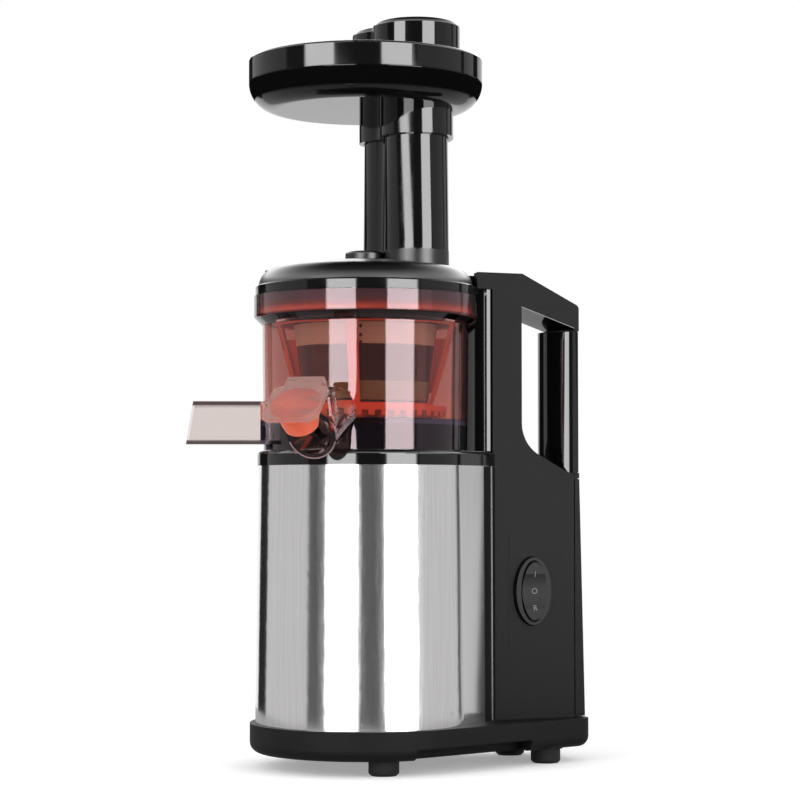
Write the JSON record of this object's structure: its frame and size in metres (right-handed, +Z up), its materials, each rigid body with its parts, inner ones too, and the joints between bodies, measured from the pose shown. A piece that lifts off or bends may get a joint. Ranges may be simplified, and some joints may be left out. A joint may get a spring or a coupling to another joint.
{
  "type": "cold press juicer",
  "caption": "Upright slow juicer: motor base with side handle and rocker switch, clear bowl with spout and pulp chute, auger, strainer, lid with feed tube, tray and pusher.",
  "frame": {"origin": "the drive axis, in the plane that the feet stand on", "axes": "+Z up along the drive axis, +Y to the handle, -Y to the front, +X to the switch side"},
  "size_m": [0.1646, 0.2234, 0.408],
  "materials": {
    "black_gloss_abs": "moulded gloss black",
    "black_matte_abs": "fine-textured matte black",
    "brushed_stainless": "vertically brushed",
    "smoke_clear_copolyester": "clear with a smoke tint",
    "black_rubber": "moulded rubber",
    "zinc_steel": "machined",
    "sintered_bronze": "sintered bush",
    "orange_silicone": "satin silicone",
    "orange_abs": "moulded",
    "lamination_steel": "stacked laminations",
    "copper_winding": "lacquered copper wire",
    "die_cast": "as cast",
    "natural_nylon": "natural nylon",
    "circuit_board": "solder mask",
    "smoke_grey_pei": "dark smoke grey",
    "dark_grey_pei": "satin",
    "perforated_stainless": "etched fine screen"
  },
  "bodies": {
    "base": {"base_tray": "black_matte_abs", "rubber_feet": "black_rubber", "base_screws": "zinc_steel", "steel_skin": "brushed_stainless", "body_shell": "black_matte_abs", "top_deck": "black_gloss_abs", "shaft_bush": "sintered_bronze", "shaft_seal": "orange_silicone", "spine_core": "black_matte_abs", "side_panel_right": "black_matte_abs", "side_panel_left": "black_matte_abs", "column_trim": "black_gloss_abs", "rear_cover": "black_matte_abs", "cord_gland": "black_rubber", "handle_grip": "black_gloss_abs", "switch_bezel": "black_gloss_abs", "motor_stator": "lamination_steel", "motor_coils": "copper_winding", "motor_bracket_lower": "die_cast", "motor_bracket_upper": "die_cast", "gearbox_housing": "die_cast", "gearbox_cover": "die_cast", "annulus_gear": "zinc_steel", "control_board": "circuit_board", "interlock_switch": "natural_nylon", "juice_bowl": "smoke_clear_copolyester", "bowl_seal": "orange_silicone", "cap_hinge_pin": "zinc_steel", "idler_pins": "zinc_steel", "strainer_frame": "smoke_grey_pei", "strainer_screen_lower": "perforated_stainless", "strainer_screen_upper": "perforated_stainless"},
    "rotor": {"motor_rotor": "zinc_steel", "cooling_fan": "natural_nylon"},
    "drive": {"planet_carrier": "zinc_steel", "drive_shaft": "zinc_steel", "auger": "dark_grey_pei"},
    "planet_1": {"planet_gear_1": "zinc_steel"},
    "planet_2": {"planet_gear_2": "zinc_steel"},
    "planet_3": {"planet_gear_3": "zinc_steel"},
    "idler_1": {"idler_gear_1": "natural_nylon"},
    "idler_2": {"idler_gear_2": "natural_nylon"},
    "idler_3": {"idler_gear_3": "natural_nylon"},
    "brush": {"brush_holder": "orange_abs", "brush_wipers": "orange_silicone"},
    "lid": {"lid": "black_gloss_abs", "lid_bush": "natural_nylon", "lid_gasket": "orange_silicone"},
    "tray": {"hopper_tray": "black_gloss_abs"},
    "pusher": {"pusher": "black_gloss_abs"},
    "rocker": {"power_rocker": "black_gloss_abs"},
    "juice_cap": {"juice_cap": "smoke_clear_copolyester", "juice_cap_seal": "orange_silicone"}
  },
  "joints": [
    {"name": "motor_spin", "type": "hinge", "parent": "base", "child": "rotor", "pos_m": [0, 0, 0.06], "axis": [0, 0, 1], "continuous": true},
    {"name": "drive_spin", "type": "hinge", "parent": "base", "child": "drive", "pos_m": [0, 0, 0.15], "axis": [0, 0, 1], "continuous": true},
    {"name": "brush_spin", "type": "hinge", "parent": "base", "child": "brush", "pos_m": [0, 0, 0.195], "axis": [0, 0, 1], "continuous": true},
    {"name": "planet_1_spin", "type": "hinge", "parent": "drive", "child": "planet_1", "pos_m": [0.0225, 0, 0.12], "axis": [0, 0, 1], "continuous": true},
    {"name": "planet_2_spin", "type": "hinge", "parent": "drive", "child": "planet_2", "pos_m": [-0.01125, 0.01949, 0.12], "axis": [0, 0, 1], "continuous": true},
    {"name": "planet_3_spin", "type": "hinge", "parent": "drive", "child": "planet_3", "pos_m": [-0.01125, -0.01949, 0.12], "axis": [0, 0, 1], "continuous": true},
    {"name": "idler_1_spin", "type": "hinge", "parent": "base", "child": "idler_1", "pos_m": [0.01056, 0.01987, 0.192], "axis": [0, 0, 1], "continuous": true},
    {"name": "idler_2_spin", "type": "hinge", "parent": "base", "child": "idler_2", "pos_m": [-0.02249, -0.00078, 0.192], "axis": [0, 0, 1], "continuous": true},
    {"name": "idler_3_spin", "type": "hinge", "parent": "base", "child": "idler_3", "pos_m": [0.01192, -0.01908, 0.192], "axis": [0, 0, 1], "continuous": true},
    {"name": "lid_twist", "type": "hinge", "parent": "base", "child": "lid", "pos_m": [0, 0, 0.26], "axis": [0, 0, 1], "range_deg": [0, 30]},
    {"name": "tray_lift", "type": "slide", "parent": "lid", "child": "tray", "axis": [0, 0, 1], "range_m": [0, 0.06]},
    {"name": "pusher_slide", "type": "slide", "parent": "tray", "child": "pusher", "axis": [0, 0, 1], "range_m": [0, 0.15]},
    {"name": "rocker_tilt", "type": "hinge", "parent": "base", "child": "rocker", "pos_m": [0.0147, 0.0923, 0.0947], "axis": [0, 1, 0], "range_deg": [-7, 7]},
    {"name": "cap_hinge", "type": "hinge", "parent": "base", "child": "juice_cap", "pos_m": [0.06698, -0.05822, 0.19981], "axis": [-0.6561, -0.7547, 0], "range_deg": [-72, 20]}
  ],
  "couplings": [
    {"joint": "drive_spin", "follows": "motor_spin", "ratio": 0.16667},
    {"joint": "brush_spin", "follows": "motor_spin", "ratio": -0.071429},
    {"joint": "planet_1_spin", "follows": "motor_spin", "ratio": -0.41667},
    {"joint": "planet_2_spin", "follows": "motor_spin", "ratio": -0.41667},
    {"joint": "planet_3_spin", "follows": "motor_spin", "ratio": -0.41667},
    {"joint": "idler_1_spin", "follows": "motor_spin", "ratio": -0.25},
    {"joint": "idler_2_spin", "follows": "motor_spin", "ratio": -0.25},
    {"joint": "idler_3_spin", "follows": "motor_spin", "ratio": -0.25}
  ]
}
